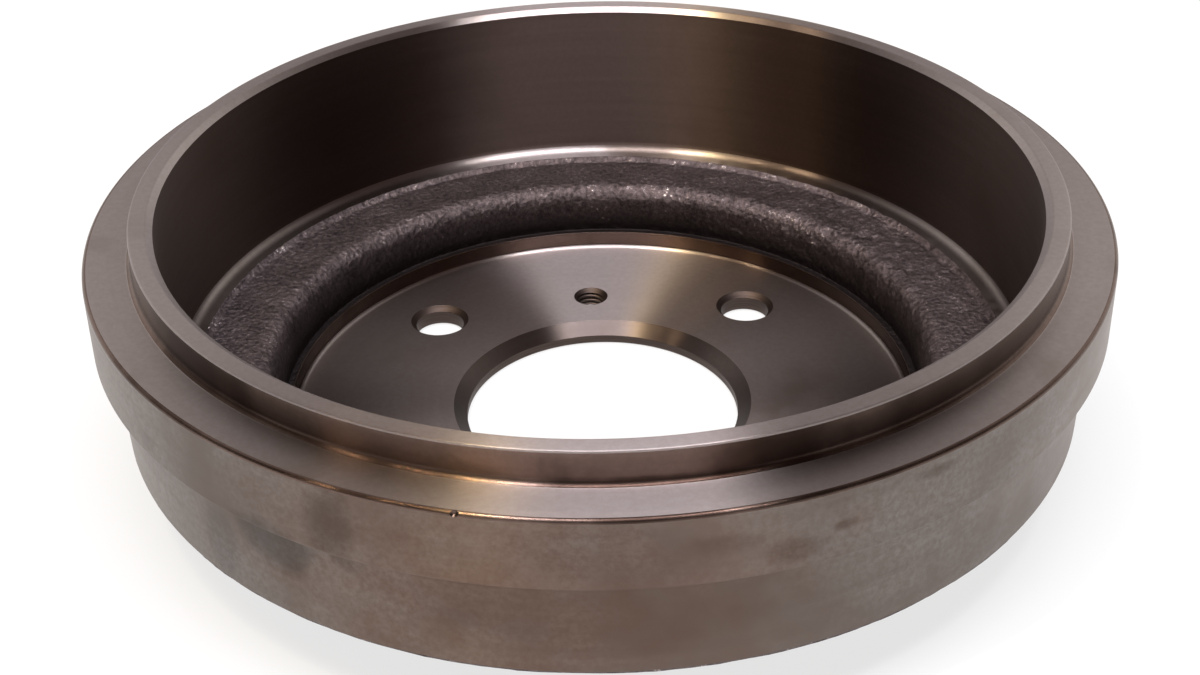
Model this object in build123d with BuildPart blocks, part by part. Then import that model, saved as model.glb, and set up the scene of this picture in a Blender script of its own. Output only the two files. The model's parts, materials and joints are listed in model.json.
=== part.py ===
"""Brake drum, cast in grey iron and turned on its working faces.

The drum stands on its wheel face with the mouth up. The origin is the centre of the wheel face,
+Z runs along the axle towards the mouth, and lengths are in millimetres.
"""
import os
from math import radians, tan

from build123d import *

# Braking ring: the turned bore that the shoes rub on
drum_diameter = 203.0
shoe_depth = 43.2
mouth_lead_width = 1.5
mouth_lead_depth = 1.2
foot_bevel = 0.8

# Register lip that runs inside the edge of the backing plate
lip_wall = 5.5
lip_height = 7.7
lip_edge = 0.5
lip_foot_bevel = 0.9

# Body of the ring round the braking bore, and the stiffening flange that stands out from it
body_wall = 12.5
body_draft = 1.8
body_low_bevel = 0.8
flange_reach = 4.0
flange_height = 16.6
flange_top_edge = 0.6
flange_low_edge = 0.5

# Turned ledge at the foot of the braking ring, then the rough-cast web
ledge_width = 4.5
cast_step = 1.0
web_thickness = 5.3
web_corner_bevel = 4.0

# Hat: the deep centre that carries the hub face
hat_depth = 60.5
hat_wall = 6.5
hat_draft = 7.0
hat_mouth_round = 5.0
hat_base_bevel = 3.0
cast_ring_width = 1.8

# Turned recess in the floor of the hat, with the hub face at its bottom
recess_diameter = 151.6
recess_depth = 4.5
hub_thickness = 5.0

# Centre bore that sits on the axle's spigot
bore_diameter = 67.0
bore_lead_width = 3.2
bore_lead_depth = 2.8

# Wheel studs
stud_count = 4
stud_circle = 114.3
stud_hole = 12.5
stud_hole_lead = 1.3

# Threaded holes for the two bolts that jack the drum off its hub
jack_count = 2
jack_circle = 98.0
jack_tap_drill = 6.8
jack_lead = 1.1

# Radii from the axle's centre line
drum_radius = drum_diameter / 2
lip_radius = drum_radius + lip_wall
body_radius = drum_radius + body_wall
flange_radius = body_radius + flange_reach
ledge_radius = drum_radius - ledge_width
recess_radius = recess_diameter / 2
cast_ring_radius = recess_radius + cast_ring_width
bore_radius = bore_diameter / 2

# Heights above the wheel face
mouth_height = hub_thickness + hat_depth
shoulder_height = mouth_height - lip_height
flange_underside = shoulder_height - flange_height
ledge_height = mouth_height - shoe_depth
web_face = ledge_height - cast_step
web_underside = web_face - web_thickness
cast_ring_height = hub_thickness + recess_depth

# Radii of the drafted walls at the heights where they end
draft_slope = tan(radians(hat_draft))
hat_mouth_radius = cast_ring_radius + (web_face - cast_ring_height) * draft_slope
hat_base_radius = recess_radius + hat_wall
hat_root_radius = hat_base_radius + web_underside * draft_slope
body_foot_radius = body_radius - (flange_underside - web_underside) * tan(radians(body_draft))


def ring_edge(part, radius, height):
    """The circular edge of this radius at this height."""
    circles = part.edges().filter_by(GeomType.CIRCLE)
    return circles.filter_by(
        lambda edge: abs(edge.radius - radius) < 0.001 and abs(edge.arc_center.Z - height) < 0.001
    )


with BuildPart() as brake_drum:
    # Outside of the casting: hat, web, body, flange and register lip
    with BuildSketch(Plane.XZ):
        with BuildLine():
            Polyline(
                (0, 0),
                (hat_base_radius, 0),
                (hat_root_radius, web_underside),
                (body_foot_radius, web_underside),
                (body_radius, flange_underside),
                (flange_radius, flange_underside),
                (flange_radius, shoulder_height),
                (lip_radius, shoulder_height),
                (lip_radius, mouth_height),
                (0, mouth_height),
                close=True,
            )
        make_face()
    revolve(axis=Axis.Z)

    # Inside: braking ring, ledge, cast web, drafted hat wall and turned hub recess
    with BuildSketch(Plane.XZ):
        with BuildLine():
            Polyline(
                (0, mouth_height),
                (drum_radius + mouth_lead_width, mouth_height),
                (drum_radius, mouth_height - mouth_lead_depth),
                (drum_radius, ledge_height),
                (ledge_radius, ledge_height),
                (ledge_radius - cast_step, web_face),
                (hat_mouth_radius, web_face),
                (cast_ring_radius, cast_ring_height),
                (recess_radius, cast_ring_height),
                (recess_radius, hub_thickness),
                (0, hub_thickness),
                close=True,
            )
        make_face()
    revolve(axis=Axis.Z, mode=Mode.SUBTRACT)

    # Centre bore, with its long lead-in from the hub side
    with BuildSketch(Plane.XZ):
        with BuildLine():
            Polyline(
                (0, hub_thickness),
                (bore_radius + bore_lead_width, hub_thickness),
                (bore_radius, hub_thickness - bore_lead_depth),
                (bore_radius, 0),
                (0, 0),
                close=True,
            )
        make_face()
    revolve(axis=Axis.Z, mode=Mode.SUBTRACT)

    # Corners eased in the casting mould
    fillet(ring_edge(brake_drum, hat_mouth_radius, web_face), radius=hat_mouth_round)
    chamfer(ring_edge(brake_drum, hat_root_radius, web_underside), length=web_corner_bevel)
    chamfer(ring_edge(brake_drum, hat_base_radius, 0), length=hat_base_bevel)
    chamfer(ring_edge(brake_drum, body_foot_radius, web_underside), length=body_low_bevel)

    # Corners that the nose of the turning tool leaves, and the edges it breaks
    chamfer(ring_edge(brake_drum, drum_radius, ledge_height), length=foot_bevel)
    chamfer(ring_edge(brake_drum, recess_radius, hub_thickness), length=foot_bevel)
    chamfer(ring_edge(brake_drum, lip_radius, shoulder_height), length=lip_foot_bevel)
    chamfer(ring_edge(brake_drum, lip_radius, mouth_height), length=lip_edge)
    chamfer(ring_edge(brake_drum, flange_radius, shoulder_height), length=flange_top_edge)
    chamfer(ring_edge(brake_drum, flange_radius, flange_underside), length=flange_low_edge)

    # Stud holes, halfway between the axes
    with BuildSketch(Plane.XY):
        with PolarLocations(stud_circle / 2, stud_count, start_angle=180 / stud_count):
            Circle(stud_hole / 2)
    extrude(amount=hub_thickness, mode=Mode.SUBTRACT)
    with Locations(Plane.XY.offset(hub_thickness)):
        with PolarLocations(stud_circle / 2, stud_count, start_angle=180 / stud_count):
            Cone(
                bottom_radius=stud_hole / 2,
                top_radius=stud_hole / 2 + stud_hole_lead,
                height=stud_hole_lead,
                align=(Align.CENTER, Align.CENTER, Align.MAX),
                mode=Mode.SUBTRACT,
            )

    # Jacking holes on the Y axis, bored to the tapping size
    with Locations(Plane.XY.offset(hub_thickness)):
        with PolarLocations(jack_circle / 2, jack_count, start_angle=90):
            Cylinder(
                radius=jack_tap_drill / 2,
                height=hub_thickness,
                align=(Align.CENTER, Align.CENTER, Align.MAX),
                mode=Mode.SUBTRACT,
            )
            Cone(
                bottom_radius=jack_tap_drill / 2,
                top_radius=jack_tap_drill / 2 + jack_lead,
                height=jack_lead,
                align=(Align.CENTER, Align.CENTER, Align.MAX),
                mode=Mode.SUBTRACT,
            )

brake_drum.part.label = "brake_drum"

os.makedirs("parts", exist_ok=True)
export_step(brake_drum.part, "parts/brake_drum.step")
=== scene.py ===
import json
import math

import bmesh
import bpy
from mathutils import Matrix, Vector, noise


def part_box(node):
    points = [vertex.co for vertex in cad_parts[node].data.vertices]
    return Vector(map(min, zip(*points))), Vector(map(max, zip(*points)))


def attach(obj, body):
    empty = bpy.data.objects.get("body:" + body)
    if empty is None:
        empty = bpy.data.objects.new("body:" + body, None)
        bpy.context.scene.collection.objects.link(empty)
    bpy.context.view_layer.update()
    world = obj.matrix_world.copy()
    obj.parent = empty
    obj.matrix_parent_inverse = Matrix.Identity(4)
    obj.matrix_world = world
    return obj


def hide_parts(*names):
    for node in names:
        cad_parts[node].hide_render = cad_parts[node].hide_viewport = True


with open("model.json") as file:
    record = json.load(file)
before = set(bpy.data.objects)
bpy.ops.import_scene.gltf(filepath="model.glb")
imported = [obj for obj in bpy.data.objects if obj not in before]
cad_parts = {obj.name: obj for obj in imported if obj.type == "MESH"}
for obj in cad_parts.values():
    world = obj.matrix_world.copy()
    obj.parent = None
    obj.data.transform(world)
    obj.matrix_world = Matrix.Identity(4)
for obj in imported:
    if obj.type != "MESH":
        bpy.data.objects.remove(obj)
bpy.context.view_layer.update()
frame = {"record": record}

MM = 0.001

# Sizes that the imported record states
mounts = {mount["name"]: mount for mount in frame["record"]["mounts"]}
brake_radius = mounts["braking_surface"]["dims"]["r_mm"] * MM
brake_middle = mounts["braking_surface"]["pos_m"][2]
brake_length = mounts["braking_surface"]["dims"]["length_mm"] * MM
bore_radius = mounts["centre_bore"]["dims"]["r_mm"] * MM
bore_length = mounts["centre_bore"]["dims"]["length_mm"] * MM
stud_count = mounts["stud_holes"]["dims"]["count"]
stud_circle_radius = mounts["stud_holes"]["dims"]["pcd_mm"] / 2 * MM
stud_hole_radius = mounts["stud_holes"]["dims"]["hole_r_mm"] * MM
jack_circle_radius = mounts["jack_hole_back"]["pos_m"][1]
tap_drill_radius = mounts["jack_hole_back"]["dims"]["r_mm"] * MM
hub_face_height = mounts["hub_seat"]["pos_m"][2]
drum_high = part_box("brake_drum")[1]
flange_radius = drum_high.x
mouth_height = drum_high.z

# Sizes of the turned steps
mouth_lead = 1.5 * MM
brake_foot_bevel = 0.8 * MM
brake_foot_round = 2.6 * MM
hub_foot_round = 1.2 * MM
lip_wall = 5.5 * MM
lip_height = 7.7 * MM
lip_edge = 0.5 * MM
lip_foot_round = 1.4 * MM
flange_height = 16.6 * MM
flange_reach = 4.0 * MM
flange_edge = 0.9 * MM
flange_low_edge = 0.4 * MM
ledge_width = 4.5 * MM
recess_radius = 75.8 * MM
recess_depth = 4.5 * MM
bore_lead_width = 3.2 * MM
stud_lead = 1.3 * MM
jack_lead = 1.1 * MM
fine_edge = 0.25 * MM

# Sizes of the cast walls
cast_step = 1.0 * MM
cast_ring_width = 1.8 * MM
web_thickness = 5.3 * MM
hat_wall = 6.5 * MM
hat_draft = math.radians(7.0)
body_draft = math.radians(1.8)
hat_mouth_ease = 4.4 * MM
hat_root_ease = 5.0 * MM
hat_base_ease = 3.6 * MM
body_low_ease = 1.0 * MM

# Thread of the jacking holes: a tooth's corners, as shares of the pitch with their radii
thread_pitch = 1.25 * MM
thread_radius = 3.95 * MM
thread_turns = 8
turns_below_face = 2
tooth = [
    (0, tap_drill_radius),
    (1 / 4, tap_drill_radius),
    (9 / 16, thread_radius),
    (11 / 16, thread_radius),
]

# Radii and heights worked out from the sizes above
lip_radius = brake_radius + lip_wall
body_radius = flange_radius - flange_reach
ledge_radius = brake_radius - ledge_width
cast_ring_radius = recess_radius + cast_ring_width
shoulder_height = mouth_height - lip_height
flange_underside = shoulder_height - flange_height
brake_wall_top = brake_middle + brake_length / 2
ledge_height = brake_middle - brake_length / 2 - brake_foot_bevel
web_face = ledge_height - cast_step
web_underside = web_face - web_thickness
cast_ring_height = hub_face_height + recess_depth
hat_mouth_radius = cast_ring_radius + (web_face - cast_ring_height) * math.tan(hat_draft)
hat_base_radius = recess_radius + hat_wall
hat_root_radius = hat_base_radius + web_underside * math.tan(hat_draft)
body_foot_radius = body_radius - (flange_underside - web_underside) * math.tan(body_draft)

# Small knocks that the flange's upper edge has taken: azimuth, height and size
KNOCKS = [
    (253.4, shoulder_height - 0.2 * MM, 0.9 * MM),
    (61.0, shoulder_height, 0.8 * MM),
]

# How finely the shapes are divided
DRUM_STEPS = 480
HOLE_STEPS = 72
THREAD_STEPS = 48
FINE_ROWS = 0.9 * MM
PLAIN_ROWS = 1.8 * MM
WIDE_ROUND = 0.7 * MM
WIDE_ROUND_SEGMENTS = 7
FINE_EDGE_SEGMENTS = 2
SHARP_ANGLE = math.radians(32)

# Small distances: where points meet, how far a cutter passes a face, and how near counts as on it
TOUCHING = 0.001 * MM
WELDED = 0.004 * MM
OVERRUN = 1.0 * MM
HAIR = 0.02 * MM
CLOSE = 0.1 * MM
SKIN_MARGIN = 0.4 * MM

# Relief of the cast skin: the size and height of its grain and of the slow swell under it
GRAIN_SIZE = 1.7 * MM
GRAIN_HEIGHT = 0.07 * MM
GRAIN_FADE, GRAIN_STEP, GRAIN_LAYERS = 0.9, 2.1, 3
SWELL_SIZE = 7 * MM
SWELL_HEIGHT = 0.12 * MM
SKIN_DROP = 0.05 * MM

# Pits on the side where sand washed away in the mould, growing above the turned recess
WASHED_SIDE = math.radians(32)
WASHED_FALL = 6
PIT_SIZE = 1.9 * MM
PIT_DEPTH = 1.7 * MM
PIT_START = 0.14
PIT_RISE = 4 * MM

# The drum's finishes, in the order of its material slots
(
    TURNED_FACE,
    BRAKING_WALL,
    LIP_WALL,
    RING_OUTSIDE,
    CAST_SKIN,
    DRILLED_HOLE,
    BORE_LEAD,
) = range(7)


# ---------------------------------------------------------------- shaping

def spin_round(bm, centre=(0, 0, 0), rise=0.0, steps=DRUM_STEPS):
    """Spin the section in bm once round an upright line, climbing by rise, and close what meets."""
    bmesh.ops.spin(
        bm,
        geom=bm.verts[:] + bm.edges[:],
        cent=centre,
        axis=(0, 0, 1),
        dvec=(0, 0, rise / steps),
        angle=2 * math.pi,
        steps=steps,
        use_merge=not rise,
        use_duplicate=False,
    )
    bmesh.ops.remove_doubles(bm, verts=bm.verts, dist=TOUCHING)
    bmesh.ops.recalc_face_normals(bm, faces=bm.faces)


def draw_section(bm, points, centre=(0, 0), closed=False):
    """Draw a section's straight runs beside the line it will be spun round."""
    verts = [bm.verts.new((centre[0] + radius, centre[1], height)) for radius, height in points]
    for near, far in zip(verts, verts[1:]):
        bm.edges.new((near, far))
    if closed:
        bm.edges.new((verts[-1], verts[0]))
    return verts


def ease_corner(bm, corner, ease):
    """Round one corner of the section, starting the round at a distance of ease from the corner."""
    bmesh.ops.bevel(
        bm,
        geom=[corner],
        offset=ease,
        affect="VERTICES",
        segments=WIDE_ROUND_SEGMENTS if ease > WIDE_ROUND else FINE_EDGE_SEGMENTS,
        profile=0.5,
        material=-1,
    )


def add_rows(bm, near, far, row_height):
    """Divide the straight run between two of the section's corners into rows for the cast skin."""
    low = [min(pair) - TOUCHING for pair in zip(near, far)]
    high = [max(pair) + TOUCHING for pair in zip(near, far)]
    for edge in bm.edges[:]:
        inside = all(
            low[0] <= vert.co.x <= high[0] and low[1] <= vert.co.z <= high[1]
            for vert in edge.verts
        )
        cuts = int(edge.calc_length() / row_height)
        if inside and cuts > 1:
            bmesh.ops.subdivide_edges(bm, edges=[edge], cuts=cuts)


def add_piece(name, bm):
    """Put a finished shape into the scene under its own name."""
    mesh = bpy.data.meshes.new(name)
    bm.to_mesh(mesh)
    bm.free()
    piece = bpy.data.objects.new(name, mesh)
    bpy.context.scene.collection.objects.link(piece)
    return piece


def add_shape(bm, shape):
    """Put a finished shape in with the others in bm."""
    mesh = bpy.data.meshes.new("shape")
    shape.to_mesh(mesh)
    shape.free()
    bm.from_mesh(mesh)
    bpy.data.meshes.remove(mesh)


def add_drill(bm, place, section):
    """Put a drill of this section in with the others, upright over a place on the hub face."""
    shape = bmesh.new()
    draw_section(shape, section, centre=place)
    spin_round(shape, centre=(*place, 0), steps=HOLE_STEPS)
    add_shape(bm, shape)


def add_tap(bm, place):
    """Put a tap in with the others: it climbs a pitch a turn and is trimmed square at its ends."""
    shape = bmesh.new()
    teeth = []
    for turn in range(thread_turns):
        foot = (turn - turns_below_face) * thread_pitch
        teeth += [(radius, foot + thread_pitch * share) for share, radius in tooth]
    draw_section(shape, teeth, centre=place)
    spin_round(shape, centre=(*place, 0), rise=thread_pitch, steps=THREAD_STEPS)
    for height, up in ((-OVERRUN / 2, -1), (hub_face_height + OVERRUN / 2, 1)):
        bmesh.ops.bisect_plane(
            shape,
            geom=shape.verts[:] + shape.edges[:] + shape.faces[:],
            dist=TOUCHING / 10,
            plane_co=(0, 0, height),
            plane_no=(0, 0, up),
            clear_outer=True,
        )
    open_edges = [edge for edge in shape.edges if edge.is_boundary]
    bmesh.ops.holes_fill(shape, edges=open_edges, sides=0)
    bmesh.ops.recalc_face_normals(shape, faces=shape.faces)
    add_shape(bm, shape)


def drill(piece, cutter):
    """Cut the cutter's shape out of the piece and put the cutter away."""
    cut = piece.modifiers.new("drill", "BOOLEAN")
    cut.operation = "DIFFERENCE"
    cut.solver = "EXACT"
    cut.object = cutter
    seen = piece.evaluated_get(bpy.context.evaluated_depsgraph_get())
    drilled = bpy.data.meshes.new_from_object(seen)
    piece.modifiers.remove(cut)
    old = piece.data
    piece.data = drilled
    bpy.data.meshes.remove(old)
    bpy.data.objects.remove(cutter)


# The section of the ring of metal: radius, height, and how far back each corner is eased
drum_section = [
    (bore_radius, 0, fine_edge),
    (bore_radius, bore_length, 0),
    (bore_radius + bore_lead_width, hub_face_height, 0),
    (recess_radius, hub_face_height, hub_foot_round),
    (recess_radius, cast_ring_height, fine_edge),
    (cast_ring_radius, cast_ring_height, fine_edge),
    (hat_mouth_radius, web_face, hat_mouth_ease),
    (ledge_radius - cast_step, web_face, 0),
    (ledge_radius, ledge_height, fine_edge),
    (brake_radius, ledge_height, brake_foot_round),
    (brake_radius, brake_wall_top, 0),
    (brake_radius + mouth_lead, mouth_height, fine_edge),
    (lip_radius, mouth_height, lip_edge),
    (lip_radius, shoulder_height, lip_foot_round),
    (flange_radius, shoulder_height, flange_edge),
    (flange_radius, flange_underside, flange_low_edge),
    (body_radius, flange_underside, fine_edge),
    (body_foot_radius, web_underside, body_low_ease),
    (hat_root_radius, web_underside, hat_root_ease),
    (hat_base_radius, 0, hat_base_ease),
]
web_inner_end = (hat_mouth_radius, web_face)
web_outer_end = (ledge_radius - cast_step, web_face)
hat_root = (hat_root_radius, web_underside)

bm = bmesh.new()
corners = draw_section(bm, [corner[:2] for corner in drum_section], closed=True)
for corner, (_, _, ease) in zip(corners, drum_section):
    if ease:
        ease_corner(bm, corner, ease)
add_rows(bm, web_inner_end, web_outer_end, FINE_ROWS)
add_rows(bm, (cast_ring_radius, cast_ring_height), web_inner_end, FINE_ROWS)
add_rows(bm, hat_root, (body_foot_radius, web_underside), PLAIN_ROWS)
add_rows(bm, (hat_base_radius, 0), hat_root, PLAIN_ROWS)
spin_round(bm)
drum = add_piece("drum", bm)

# Stud holes, each a straight drill with a lead-in at the hub face, and the two tapped jacking holes
bm = bmesh.new()
for stud in range(stud_count):
    turn = math.radians(360 / stud_count * (stud + 0.5))
    add_drill(
        bm,
        (stud_circle_radius * math.cos(turn), stud_circle_radius * math.sin(turn)),
        [
            (0, -OVERRUN),
            (stud_hole_radius + fine_edge + OVERRUN, -OVERRUN),
            (stud_hole_radius, fine_edge),
            (stud_hole_radius, hub_face_height - stud_lead),
            (stud_hole_radius + stud_lead + OVERRUN, hub_face_height + OVERRUN),
            (0, hub_face_height + OVERRUN),
        ],
    )
for side in (1, -1):
    add_tap(bm, (0, side * jack_circle_radius))
drill(drum, add_piece("drills", bm))

# Countersinks over the threads, at the hub face, and the knocks in the flange's edge
bm = bmesh.new()
for side in (1, -1):
    add_drill(
        bm,
        (0, side * jack_circle_radius),
        [
            (0, hub_face_height - jack_lead - tap_drill_radius),
            (tap_drill_radius + jack_lead + OVERRUN, hub_face_height + OVERRUN),
            (0, hub_face_height + OVERRUN),
        ],
    )
for azimuth, height, size in KNOCKS:
    turn = math.radians(azimuth)
    middle = Vector((flange_radius * math.cos(turn), flange_radius * math.sin(turn), height))
    place = Matrix.Translation(middle)
    bmesh.ops.create_icosphere(bm, subdivisions=2, radius=size, matrix=place)
drill(drum, add_piece("countersinks", bm))


def is_cast(point):
    """Whether a point lies on the skin that the mould left, up to where turning begins."""
    radius = math.hypot(point.x, point.y)
    inside = (
        recess_radius + SKIN_MARGIN < radius < ledge_radius + SKIN_MARGIN
        and cast_ring_height - CLOSE < point.z < ledge_height + CLOSE / 2
    )
    underneath = (
        radius > hat_base_radius - hat_base_ease + 2 * CLOSE
        and 2 * CLOSE < point.z < web_underside + body_low_ease - CLOSE
    )
    return inside or underneath


def finish_in_plate(point, radius):
    """The finish of a hole's wall in the hub's plate, or nothing where there is no hole."""
    stud_reach = stud_circle_radius / math.sqrt(2)
    from_stud = math.hypot(abs(point.x) - stud_reach, abs(point.y) - stud_reach)
    from_jack = math.hypot(point.x, abs(point.y) - jack_circle_radius)
    if from_stud < stud_hole_radius + stud_lead or from_jack < tap_drill_radius + jack_lead:
        return DRILLED_HOLE
    if radius < bore_radius + bore_lead_width:
        return BORE_LEAD if point.z > bore_length else DRILLED_HOLE
    return None


def finish_at(point):
    """Which of the drum's finishes a face wears, by where its middle lies."""
    radius = math.hypot(point.x, point.y)
    height = point.z
    if is_cast(point):
        return CAST_SKIN
    if HAIR < height < hub_face_height - HAIR:
        hole_finish = finish_in_plate(point, radius)
        if hole_finish is not None:
            return hole_finish
    if recess_radius - CLOSE < radius < recess_radius + SKIN_MARGIN:
        return LIP_WALL
    if abs(radius - brake_radius) < 2 * CLOSE and height < brake_wall_top:
        return BRAKING_WALL
    # The lip's wall and the round at its foot wear the dark lip finish; on the round, that darkness
    # is painted shade.
    on_lip = lip_radius - CLOSE < radius < lip_radius + lip_foot_round
    if on_lip and shoulder_height + HAIR < height < mouth_height - lip_edge:
        return LIP_WALL
    # The flange's top edge wears the dark lip finish too: painted shade, a dark line under the
    # shoulder's edge.
    edge_foot = shoulder_height - flange_edge
    edge_top = shoulder_height - HAIR / 2
    if radius > flange_radius - flange_edge and edge_foot < height < edge_top:
        return LIP_WALL
    if radius > body_foot_radius - CLOSE and height < edge_foot:
        return RING_OUTSIDE
    return TURNED_FACE


def cast_relief(place):
    """How far the cast skin stands out at a point of the smooth wall."""
    grain = noise.fractal(place / GRAIN_SIZE, GRAIN_FADE, GRAIN_STEP, GRAIN_LAYERS)
    swell = noise.noise(place / SWELL_SIZE)
    turn = math.atan2(place.y, place.x) - WASHED_SIDE
    washed = max(0.0, math.cos(turn)) ** WASHED_FALL
    above_ring = min(1.0, max(0.0, (place.z - cast_ring_height) / PIT_RISE))
    pit = max(0.0, noise.noise(place / PIT_SIZE) - PIT_START) * washed * above_ring
    return GRAIN_HEIGHT * grain + SWELL_HEIGHT * swell - SKIN_DROP - PIT_DEPTH * pit


# ---------------------------------------------------------------- finishes

# The part of a noise pattern's range in which most of it lies
NOISE_LOW, NOISE_HIGH = 0.3, 0.7

# The speckle of turned iron, and the levels between which it fades out
SPECKLE_SCALE = 750.0
SPECKLE_FULL, SPECKLE_NONE = 0.38, 0.62

# The uneven edge of a handled patch, and where the patch ends in half widths
UNEVEN_SCALE = 90.0
UNEVENNESS = 0.9
PATCH_END = 1.1

# The cast skin's pattern: clouds and cells set against the grain, and the levels that show
CLOUD_SIZE = 7.0
CLOUD_SHARE = 0.35
CELL_SCALE = 0.8
CELL_SHARE = 0.6
HOLLOW_LEVEL, SKIN_LEVEL = 0.52, 0.76
GLINT_START, GLINT_FULL = 0.79, 0.87
GLINT_ROUGHNESS = 0.26
HOLLOW_TONE = 0.32

# Painted shade in the hat, darkening the cast skin low down: nearly full at the cast ring and gone
# at the web
HAT_SHADE_COVER = 0.96
HAT_SHADE_TONE = 0.14
hat_shade_foot = cast_ring_height + 1.5 * MM
hat_shade_top = web_face - 0.3 * MM
hat_shade_full_radius = hat_mouth_radius + 0.5 * MM
hat_shade_end_radius = hat_mouth_radius + 1.5 * MM

# The drill's scoring: fine up the hole, drawn out long round it
SCORING_SCALE = (120, 120, 2600)
SCORING_DEPTH = 0.01 * MM
SCORED_TONE = 0.6


def shade(colour, tone):
    """A colour made darker by a tone."""
    return tuple(tone * part for part in colour)


def add_node(tree, kind, **settings):
    """A new node with its settings and the plain values of its inputs."""
    node = tree.nodes.new("ShaderNode" + kind)
    for key, value in settings.items():
        if key in node.bl_rna.properties:
            setattr(node, key, value)
        else:
            node.inputs[key].default_value = value
    return node


def feed(tree, socket, value):
    """Give an input its value: another socket, a colour or a plain number."""
    if isinstance(value, (int, float)):
        socket.default_value = value
    elif isinstance(value, tuple):
        socket.default_value = (*value, 1)
    else:
        tree.links.new(value, socket)


def sum_node(tree, operation, *values, clamp=False):
    """A Math node whose inputs are sockets or plain numbers; gives its output."""
    node = add_node(tree, "Math", operation=operation, use_clamp=clamp)
    for socket, value in zip(node.inputs, values):
        feed(tree, socket, value)
    return node.outputs[0]


def blend_node(tree, share, first, second, blend_type="MIX"):
    """Mix two colours, each a socket or plain numbers, by a share."""
    node = add_node(tree, "Mix", data_type="RGBA", clamp_factor=True, blend_type=blend_type)
    for place, value in ((0, share), (6, first), (7, second)):
        feed(tree, node.inputs[place], value)
    return node.outputs[2]


def fit_node(tree, value, from_low, from_high, to_low=0.0, to_high=1.0, kind="LINEAR"):
    """Map a value from one range to another and hold it there."""
    node = add_node(tree, "MapRange", clamp=True, interpolation_type=kind)
    for socket, given in zip(node.inputs, (value, from_low, from_high, to_low, to_high)):
        feed(tree, socket, given)
    return node.outputs[0]


def object_place(tree):
    """The place on the object, as a whole."""
    return add_node(tree, "TexCoord").outputs["Object"]


def split_place(tree, where):
    """The X, Y and Z of a place."""
    split = add_node(tree, "SeparateXYZ")
    feed(tree, split.inputs[0], where)
    return split.outputs


def radius_node(tree, parts):
    """The distance from the axle, from the separated parts of a place."""
    squares = [sum_node(tree, "MULTIPLY", parts[axis], parts[axis]) for axis in ("X", "Y")]
    return sum_node(tree, "SQRT", sum_node(tree, "ADD", *squares))


def pattern_node(tree, where, kind="Noise", **settings):
    """A pattern over the surface; gives its node."""
    pattern = add_node(tree, "Tex" + kind, **settings)
    feed(tree, pattern.inputs["Vector"], where)
    return pattern


def raise_marks(tree, shader, height, distance):
    """Let a pattern's height tilt the surface's normal."""
    bump = add_node(tree, "Bump", Strength=1.0, Distance=distance)
    feed(tree, bump.inputs["Height"], height)
    feed(tree, shader.inputs["Normal"], bump.outputs["Normal"])


def new_effect(name, inputs, outputs):
    """An empty node group with named number inputs and outputs."""
    group = bpy.data.node_groups.new(name, "ShaderNodeTree")
    kind = "NodeSocketFloat"
    for socket, default in inputs.items():
        made = group.interface.new_socket(socket, in_out="INPUT", socket_type=kind)
        made.default_value = default
    for socket in outputs:
        group.interface.new_socket(socket, in_out="OUTPUT", socket_type=kind)
    given = group.nodes.new("NodeGroupInput").outputs
    out = group.nodes.new("NodeGroupOutput").inputs
    return group, given, out


def place_effect(tree, group, **values):
    """Place an effect in a material with its own values; gives its outputs."""
    node = tree.nodes.new("ShaderNodeGroup")
    node.node_tree = group
    for socket, value in values.items():
        node.inputs[socket.replace("_", " ")].default_value = value
    return node.outputs


def turning_marks_effect():
    """Rings left by the lathe: fine across the cut, drawn out long round the axle."""
    group, given, out = new_effect(
        "turning_marks", {"Marks per metre": 4000.0, "Breaks": 3.0}, ["Height", "Tone"]
    )
    parts = split_place(group, object_place(group))
    radius = radius_node(group, parts)
    ring = add_node(group, "CombineXYZ")
    for axis in ("X", "Y"):
        turn = sum_node(group, "DIVIDE", parts[axis], radius)
        feed(group, ring.inputs[axis], sum_node(group, "MULTIPLY", turn, given["Breaks"]))
    across = sum_node(group, "MULTIPLY", radius, given["Marks per metre"])
    feed(group, ring.inputs["Z"], across)
    up = sum_node(group, "MULTIPLY", parts["Z"], given["Marks per metre"])
    for socket, detail, scale in (("Height", 2.0, 1.0), ("Tone", 3.0, 0.22)):
        marks = pattern_node(
            group,
            ring.outputs[0],
            noise_dimensions="4D",
            Scale=scale,
            Detail=detail,
            Roughness=0.6,
        )
        feed(group, marks.inputs["W"], up)
        feed(group, out[socket], marks.outputs["Fac"])
    return group


def stain_effect():
    """Soft-edged patches of oil and handling, a few centimetres across."""
    group, given, out = new_effect(
        "stains", {"Scale": 30.0, "Cover": 0.5, "Edge": 0.12}, ["Mask"]
    )
    cloud = pattern_node(group, object_place(group), Detail=4.0, Roughness=0.55, Distortion=0.4)
    feed(group, cloud.inputs["Scale"], given["Scale"])
    low = sum_node(group, "SUBTRACT", given["Cover"], given["Edge"])
    high = sum_node(group, "ADD", given["Cover"], given["Edge"])
    mask = fit_node(group, cloud.outputs["Fac"], low, high, kind="SMOOTHSTEP")
    feed(group, out["Mask"], mask)
    return group


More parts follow.
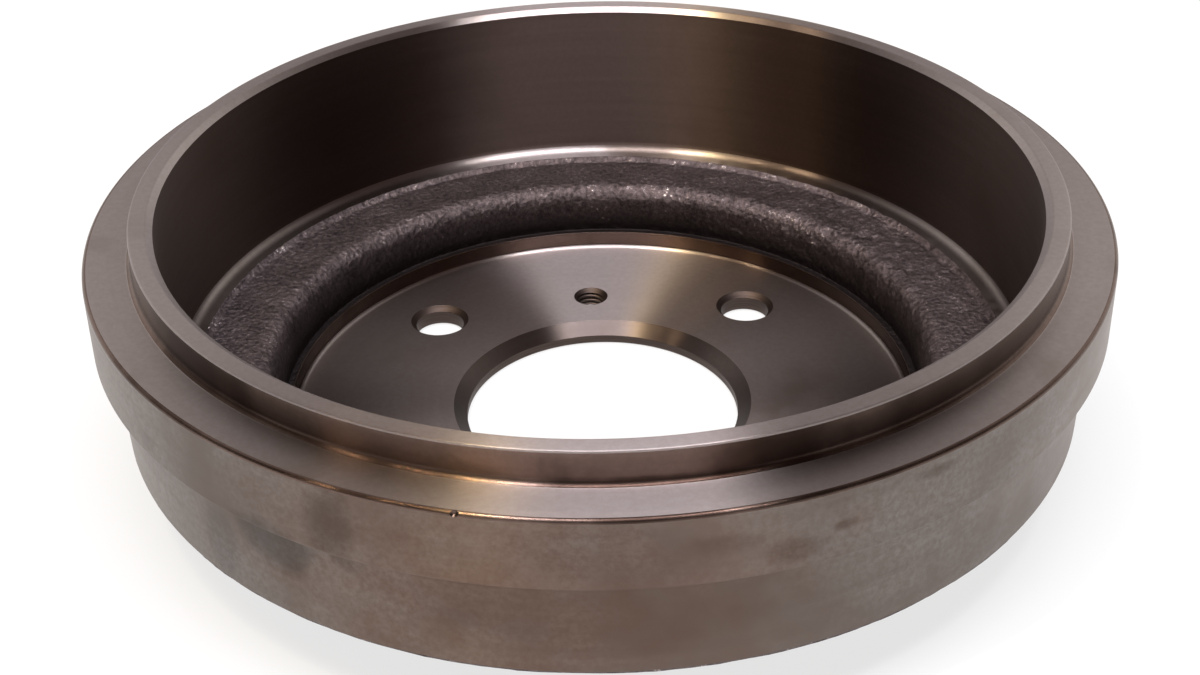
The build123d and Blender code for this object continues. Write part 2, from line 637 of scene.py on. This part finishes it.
def spot_effect():
    """One soft patch with an uneven edge, round a point on the drum."""
    inputs = {"X": 0.0, "Y": 0.0, "Z": 0.0, "Width": 0.02, "Height": 0.02}
    inputs.update({"Unevenness": 0.5, "Core": 0.7})
    group, given, out = new_effect("spot", inputs, ["Mask"])
    where = object_place(group)
    parts = split_place(group, where)
    squares = []
    for axis, size in (("X", "Width"), ("Y", "Width"), ("Z", "Height")):
        offset = sum_node(group, "SUBTRACT", parts[axis], given[axis])
        scaled = sum_node(group, "DIVIDE", offset, given[size])
        squares.append(sum_node(group, "MULTIPLY", scaled, scaled))
    flat = sum_node(group, "ADD", squares[0], squares[1])
    reach = sum_node(group, "SQRT", sum_node(group, "ADD", flat, squares[2]))
    cloud = pattern_node(group, where, Scale=UNEVEN_SCALE, Detail=3.0, Roughness=0.55)
    wave = sum_node(group, "SUBTRACT", cloud.outputs["Fac"], 0.5)
    wobble = sum_node(group, "MULTIPLY", wave, given["Unevenness"])
    uneven = sum_node(group, "ADD", reach, wobble)
    mask = fit_node(group, uneven, given["Core"], PATCH_END, 1.0, 0.0, kind="SMOOTHSTEP")
    feed(group, out["Mask"], mask)
    return group


turning_marks = turning_marks_effect()
stains = stain_effect()
spot = spot_effect()


def new_finish(name, colour, roughness, metallic=1.0, **values):
    """A new material with its Principled shader, and the node tree to add to."""
    material = bpy.data.materials.new(name)
    material.use_nodes = True
    shader = material.node_tree.nodes["Principled BSDF"]
    shader.inputs["Base Color"].default_value = (*colour, 1)
    shader.inputs["Roughness"].default_value = roughness
    shader.inputs["Metallic"].default_value = metallic
    for socket, value in values.items():
        shader.inputs[socket.replace("_", " ")].default_value = value
    return material, material.node_tree, shader


def turned_finish(
    name,
    bright,
    dull,
    stained,
    roughness,
    worn_by,
    marks_per_metre,
    breaks,
    mark_depth,
    stain_scale,
    stain_cover,
    stain_edge,
    speckled,
):
    """Iron cut on the lathe: rings drawn round the axle spread each light across the cut."""
    material, tree, shader = new_finish(
        name, bright, roughness, Anisotropic=1.0, Anisotropic_Rotation=0.25
    )
    round_axle = add_node(tree, "Tangent", direction_type="RADIAL", axis="Z")
    feed(tree, shader.inputs["Tangent"], round_axle.outputs["Tangent"])
    rings = place_effect(tree, turning_marks, Marks_per_metre=marks_per_metre, Breaks=breaks)
    patches = place_effect(
        tree, stains, Scale=stain_scale, Cover=stain_cover, Edge=stain_edge
    )
    where = object_place(tree)
    speckle = pattern_node(tree, where, Scale=SPECKLE_SCALE, Detail=4.0, Roughness=0.7)
    specks = fit_node(
        tree, speckle.outputs["Fac"], SPECKLE_NONE, SPECKLE_FULL, 0.0, speckled
    )
    tone = fit_node(tree, rings["Tone"], NOISE_LOW, NOISE_HIGH)
    turned = blend_node(tree, tone, dull, bright)
    metal = blend_node(tree, specks, turned, stained)
    colour = blend_node(tree, patches["Mask"], metal, stained)
    feed(tree, shader.inputs["Base Color"], colour)
    dullest, glossiest = roughness + worn_by, roughness - worn_by
    worn = fit_node(tree, rings["Tone"], NOISE_LOW, NOISE_HIGH, dullest, glossiest)
    stain_dulls = sum_node(tree, "MULTIPLY", patches["Mask"], worn_by)
    feed(tree, shader.inputs["Roughness"], sum_node(tree, "ADD", worn, stain_dulls))
    raise_marks(tree, shader, rings["Height"], mark_depth)
    return material


def tint_stains_and_painted_light(material, radius, patches, tint, core):
    """Tint soft patches of a finish, each full out to core and gone just past its half widths."""
    tree = material.node_tree
    base = tree.nodes["Principled BSDF"].inputs["Base Color"]
    for azimuth, height, half_width, half_height, strength in patches:
        turn = math.radians(azimuth)
        patch = place_effect(
            tree,
            spot,
            X=radius * math.cos(turn),
            Y=radius * math.sin(turn),
            Z=height * MM,
            Width=half_width * MM,
            Height=half_height * MM,
            Unevenness=UNEVENNESS,
            Core=core,
        )
        share = sum_node(tree, "MULTIPLY", patch["Mask"], strength)
        under = base.links[0].from_socket
        feed(tree, base, blend_node(tree, share, under, tint, "MULTIPLY"))


def cast_finish(name, skin, sparkle, roughness, grain_scale, grain_depth):
    """Sand-cast skin: a fine grain with bright grains, dark hollows, and painted shade low in the
    hat, which also hides the bright grains there.
    """
    material, tree, shader = new_finish(name, skin, roughness)
    where = object_place(tree)
    grain = pattern_node(tree, where, Scale=grain_scale, Detail=5.0, Roughness=0.75)
    clouds = pattern_node(
        tree, where, Scale=grain_scale / CLOUD_SIZE, Detail=3.0, Roughness=0.6
    )
    cells = pattern_node(tree, where, "Voronoi", Scale=grain_scale * CELL_SCALE, feature="F1")
    cloudy = sum_node(tree, "MULTIPLY", clouds.outputs["Fac"], CLOUD_SHARE)
    mixed = sum_node(tree, "ADD", grain.outputs["Fac"], cloudy)
    parts = split_place(tree, where)
    # Painted shade: the skin is darkened low in the hat, and its bright grains are taken out there.
    low_down = fit_node(tree, parts["Z"], hat_shade_foot, hat_shade_top, HAT_SHADE_COVER, 0.0)
    reach = radius_node(tree, parts)
    in_hat = fit_node(tree, reach, hat_shade_full_radius, hat_shade_end_radius, 1.0, 0.0)
    painted_shade = sum_node(tree, "MULTIPLY", low_down, in_hat)
    filled = fit_node(tree, mixed, HOLLOW_LEVEL, SKIN_LEVEL)
    clean = blend_node(tree, filled, shade(skin, HOLLOW_TONE), skin)
    body = blend_node(tree, painted_shade, clean, shade(skin, HAT_SHADE_TONE))
    bright_grains = fit_node(tree, mixed, GLINT_START, GLINT_FULL)
    glint = sum_node(tree, "SUBTRACT", bright_grains, painted_shade, clamp=True)
    feed(tree, shader.inputs["Base Color"], blend_node(tree, glint, body, sparkle))
    gloss = fit_node(tree, glint, 0.0, 1.0, roughness, GLINT_ROUGHNESS)
    feed(tree, shader.inputs["Roughness"], gloss)
    bumpy = sum_node(tree, "MULTIPLY", cells.outputs["Distance"], CELL_SHARE)
    rough_height = sum_node(tree, "ADD", grain.outputs["Fac"], bumpy)
    raise_marks(tree, shader, rough_height, grain_depth)
    return material


def drilled_finish(name, metal, roughness):
    """The walls of drilled holes: dark, with the drill's scoring round each hole."""
    material, tree, shader = new_finish(name, metal, roughness)
    stretch = add_node(tree, "Mapping", Scale=SCORING_SCALE)
    feed(tree, stretch.inputs["Vector"], object_place(tree))
    scoring = pattern_node(tree, stretch.outputs["Vector"], Scale=1.0, Detail=3.0)
    smooth = fit_node(tree, scoring.outputs["Fac"], NOISE_LOW, NOISE_HIGH)
    colour = blend_node(tree, smooth, shade(metal, SCORED_TONE), metal)
    feed(tree, shader.inputs["Base Color"], colour)
    raise_marks(tree, shader, scoring.outputs["Fac"], SCORING_DEPTH)
    return material


finishes = {
    TURNED_FACE: turned_finish(
        "turned_face",
        bright=(0.395, 0.345, 0.335),
        dull=(0.375, 0.325, 0.313),
        stained=(0.30, 0.25, 0.23),
        roughness=0.30,
        worn_by=0.010,
        marks_per_metre=2500,
        breaks=4,
        mark_depth=0.0006 * MM,
        stain_scale=34,
        stain_cover=0.66,
        stain_edge=0.12,
        speckled=0.35,
    ),
    BRAKING_WALL: turned_finish(
        "braking_wall",
        bright=(0.120, 0.086, 0.075),
        dull=(0.103, 0.074, 0.064),
        stained=(0.087, 0.060, 0.050),
        roughness=0.45,
        worn_by=0.02,
        marks_per_metre=1500,
        breaks=3,
        mark_depth=0.002 * MM,
        stain_scale=22,
        stain_cover=0.62,
        stain_edge=0.15,
        speckled=0.3,
    ),
    LIP_WALL: turned_finish(
        "lip_wall",
        bright=(0.20, 0.142, 0.120),
        dull=(0.15, 0.104, 0.087),
        stained=(0.10, 0.068, 0.056),
        roughness=0.24,
        worn_by=0.02,
        marks_per_metre=900,
        breaks=5,
        mark_depth=0.002 * MM,
        stain_scale=60,
        stain_cover=0.64,
        stain_edge=0.12,
        speckled=0.3,
    ),
    RING_OUTSIDE: turned_finish(
        "ring_outside",
        bright=(0.285, 0.257, 0.239),
        dull=(0.255, 0.226, 0.208),
        stained=(0.205, 0.170, 0.150),
        roughness=0.35,
        worn_by=0.015,
        marks_per_metre=3200,
        breaks=7,
        mark_depth=0.0015 * MM,
        stain_scale=26,
        stain_cover=0.52,
        stain_edge=0.14,
        speckled=0.75,
    ),
    CAST_SKIN: cast_finish(
        "cast_skin",
        skin=(0.177, 0.142, 0.147),
        sparkle=(0.60, 0.54, 0.54),
        roughness=0.5,
        grain_scale=850,
        grain_depth=0.36 * MM,
    ),
    DRILLED_HOLE: drilled_finish("drilled_hole", metal=(0.105, 0.078, 0.068), roughness=0.5),
    BORE_LEAD: turned_finish(
        "bore_lead",
        bright=(0.165, 0.134, 0.124),
        dull=(0.143, 0.114, 0.105),
        stained=(0.12, 0.094, 0.084),
        roughness=0.36,
        worn_by=0.010,
        marks_per_metre=1500,
        breaks=4,
        mark_depth=0.001 * MM,
        stain_scale=34,
        stain_cover=0.66,
        stain_edge=0.12,
        speckled=0.3,
    ),
}

# Patches that tint a finish: stains, browning and hand marks, and painted light and shade where a
# list says so.
# Each has its azimuth in degrees, its height, half width and half height in millimetres, and its
# strength.
# Painted shade on the round at the braking wall's foot, at the back, dimming its glint there.
ledge_painted_shade = [
    (80, 23.5, 20, 3.0, 1.0),
]
# Darker patches on the lip wall; the thin one along the lip's foot is painted shade on the round
# there.
lip_stains_and_painted_shade = [
    (216, 62, 24, 14, 1.0),
    (284, 62, 18, 14, 1.0),
    (303, 62, 14, 12, 0.5),
    # painted shade along the lip's foot, darkening the round between its two glints
    (271.5, 58, 25, 1.8, 1.0),
]
# Lighter patches on the ring's outside; the broad one at 326° is painted reflection of a brighter
# room to the right.
lighter_patches_and_painted_reflection = [
    (326, 44, 40, 40, 1.0),
    (248, 45, 6, 5, 0.5),
]
browned_patches = [
    (258, 36, 82, 60, 1.0),
    (128, 30, 60, 45, 0.9),
    (28, 44, 40, 50, 0.8),
]
handled_patches = [
    (232, 36.5, 12, 9, 0.75),
    (240.5, 48, 7.5, 15, 0.6),
    (223, 26, 6, 13, 0.35),
    (268, 50, 20, 10, 0.3),
    (214, 46, 5, 6, 0.4),
    (132, 30, 14, 14, 0.5),
    (60, 44, 9, 9, 0.5),
    (14, 28, 12, 9, 0.4),
    (342, 50, 6, 6, 0.3),
]
smudged_patches = [
    (289.5, 49, 3.0, 1.5, 0.6),
    (285, 46, 8, 3.5, 0.45),
    (279, 50, 9, 3, 0.3),
    (300, 54, 6, 1.8, 0.5),
]

# Each list of patches: its finish, the radius it lies at, its tint, and how far out it stays full
for place, radius, patches, tint, core in (
    (TURNED_FACE, brake_radius, ledge_painted_shade, (0.42, 0.38, 0.34), 0.3),
    (LIP_WALL, lip_radius, lip_stains_and_painted_shade, (0.36, 0.32, 0.30), 0.4),
    (RING_OUTSIDE, body_radius, lighter_patches_and_painted_reflection, (1.34, 1.36, 1.40), 0.0),
    (RING_OUTSIDE, body_radius, browned_patches, (0.83, 0.66, 0.585), 0.0),
    (RING_OUTSIDE, body_radius, handled_patches, (0.50, 0.53, 0.55), 0.5),
    (RING_OUTSIDE, flange_radius, smudged_patches, (0.50, 0.41, 0.37), 0.2),
):
    tint_stains_and_painted_light(finishes[place], radius, patches, tint, core)

# Dressing: the cast skin's relief, a finish for each face, and sharp edges where walls meet
for place in sorted(finishes):
    drum.data.materials.append(finishes[place])
bm = bmesh.new()
bm.from_mesh(drum.data)
bmesh.ops.remove_doubles(bm, verts=bm.verts, dist=WELDED)
bm.normal_update()
for vert in bm.verts:
    if is_cast(vert.co):
        vert.co += vert.normal * cast_relief(vert.co)
for face in bm.faces:
    face.smooth = True
    face.material_index = finish_at(face.calc_center_median())
for edge in bm.edges:
    both_cast = all(face.material_index == CAST_SKIN for face in edge.link_faces)
    edge.smooth = both_cast or edge.calc_face_angle(0) < SHARP_ANGLE
bm.to_mesh(drum.data)
bm.free()
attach(drum, "root")
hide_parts("brake_drum")

even = drum.modifiers.new("even_shading", "WEIGHTED_NORMAL")
even.keep_sharp = True

# ---------------------------------------------------------------- studio

FLOOR_RADIUS = 6.0
FLOOR_SEGMENTS = 96
FLOOR_GAP = 0.3 * MM
FLOOR_COLOUR = (0.93, 0.93, 0.94)
FLOOR_ROUGHNESS = 0.8
FLOOR_PALENESS = 0.75
WHITE = (1.0, 1.0, 1.0)

# The room round the stage, and the parts of a direction between which one wall turns into the next
ROOM_IN_FRONT = (0.070, 0.045, 0.037)
ROOM_BEHIND = (0.56, 0.515, 0.505)
ROOM_ASIDE = (1.13, 1.09, 1.05)
FRONT_TO_BACK = (-0.05, 0.8)
MIDDLE_TO_SIDE = (0.12, 0.7)
LOW_TO_HIGH = (0.02, 0.16)

# The lamps hang in one row across the stage, at this place from front to back and this high. Each
# has its name, its place along the row, its width, its power in watts and its colour.
LAMP_ROW = (-0.6, 3.0)
LAMP_DEPTH = 0.6
LAMP_AIM = Vector((0, 0, 0))
LAMPS = [
    ("overhead_softbox", 0.0, 1.66, 86.0, (0.95, 0.94, 1.0)),
    ("warm_strip", -0.89, 0.04, 24.0, (1.0, 0.80, 0.44)),
    ("cool_strip", 0.87, 0.05, 10.0, (1.0, 0.98, 0.98)),
    ("side_strip", -1.5, 0.04, 5.0, (1.0, 0.74, 0.46)),
    ("far_strip", -2.5, 0.04, 7.0, (1.0, 0.74, 0.46)),
]

# The camera's place in metres and its turns in degrees
CAMERA_PLACE = (-0.02102, -0.40099, 0.27651)
CAMERA_TURNS = (57.701, 0.946, -3.554)
CAMERA_SENSOR = 36.0
CAMERA_LENS = 58.76

floor_bm = bmesh.new()
bmesh.ops.create_circle(floor_bm, cap_ends=True, segments=FLOOR_SEGMENTS, radius=FLOOR_RADIUS)
floor = add_piece("floor", floor_bm)
floor.location.z = -FLOOR_GAP
floor_finish, tree, shader = new_finish(
    "pale_floor", FLOOR_COLOUR, FLOOR_ROUGHNESS, metallic=0.0
)
floor.data.materials.append(floor_finish)
pale = add_node(tree, "Emission", Color=(*WHITE, 1), Strength=1.0)
ray = add_node(tree, "LightPath").outputs
in_mirror = sum_node(tree, "MAXIMUM", ray["Is Glossy Ray"], ray["Is Transmission Ray"])
plainly_seen = sum_node(tree, "MAXIMUM", ray["Is Camera Ray"], in_mirror)
lit_share = add_node(tree, "MixShader")
feed(tree, lit_share.inputs[0], sum_node(tree, "MULTIPLY", plainly_seen, FLOOR_PALENESS))
feed(tree, lit_share.inputs[1], shader.outputs[0])
feed(tree, lit_share.inputs[2], pale.outputs[0])
feed(tree, tree.nodes["Material Output"].inputs["Surface"], lit_share.outputs[0])

for name, along, width, watts, colour in LAMPS:
    lamp = bpy.data.lights.new(name, "AREA")
    lamp.shape = "RECTANGLE"
    lamp.size = width
    lamp.size_y = LAMP_DEPTH
    lamp.energy = watts
    lamp.color = colour
    holder = bpy.data.objects.new(name, lamp)
    holder.location = (along, *LAMP_ROW)
    towards_drum = LAMP_AIM - Vector((along, *LAMP_ROW))
    holder.rotation_euler = towards_drum.to_track_quat("-Z", "Y").to_euler()
    bpy.context.scene.collection.objects.link(holder)

# The room: pale low down, a lit wall behind, brighter walls aside, and a dim brown room in front
world = bpy.data.worlds.new("studio")
bpy.context.scene.world = world
world.use_nodes = True
room = world.node_tree
sky = room.nodes["Background"]
parts = split_place(room, add_node(room, "TexCoord").outputs["Generated"])
aside = sum_node(room, "ABSOLUTE", parts["X"])
middle_to_side = fit_node(room, aside, *MIDDLE_TO_SIDE, kind="SMOOTHSTEP")
front_to_back = fit_node(room, parts["Y"], *FRONT_TO_BACK, kind="SMOOTHSTEP")
low_to_high = fit_node(room, parts["Z"], *LOW_TO_HIGH, kind="SMOOTHSTEP")
wall_behind = blend_node(room, middle_to_side, ROOM_BEHIND, ROOM_ASIDE)
walls = blend_node(room, front_to_back, ROOM_IN_FRONT, wall_behind)
feed(room, sky.inputs["Color"], blend_node(room, low_to_high, WHITE, walls))
sky.inputs["Strength"].default_value = 1.0

camera_data = bpy.data.cameras.new("camera")
camera_data.sensor_width = CAMERA_SENSOR
camera_data.lens = CAMERA_LENS
camera = bpy.data.objects.new("camera", camera_data)
camera.location = CAMERA_PLACE
camera.rotation_euler = [math.radians(turn) for turn in CAMERA_TURNS]
bpy.context.scene.collection.objects.link(camera)
bpy.context.scene.camera = camera
bpy.context.scene.view_settings.view_transform = "Standard"
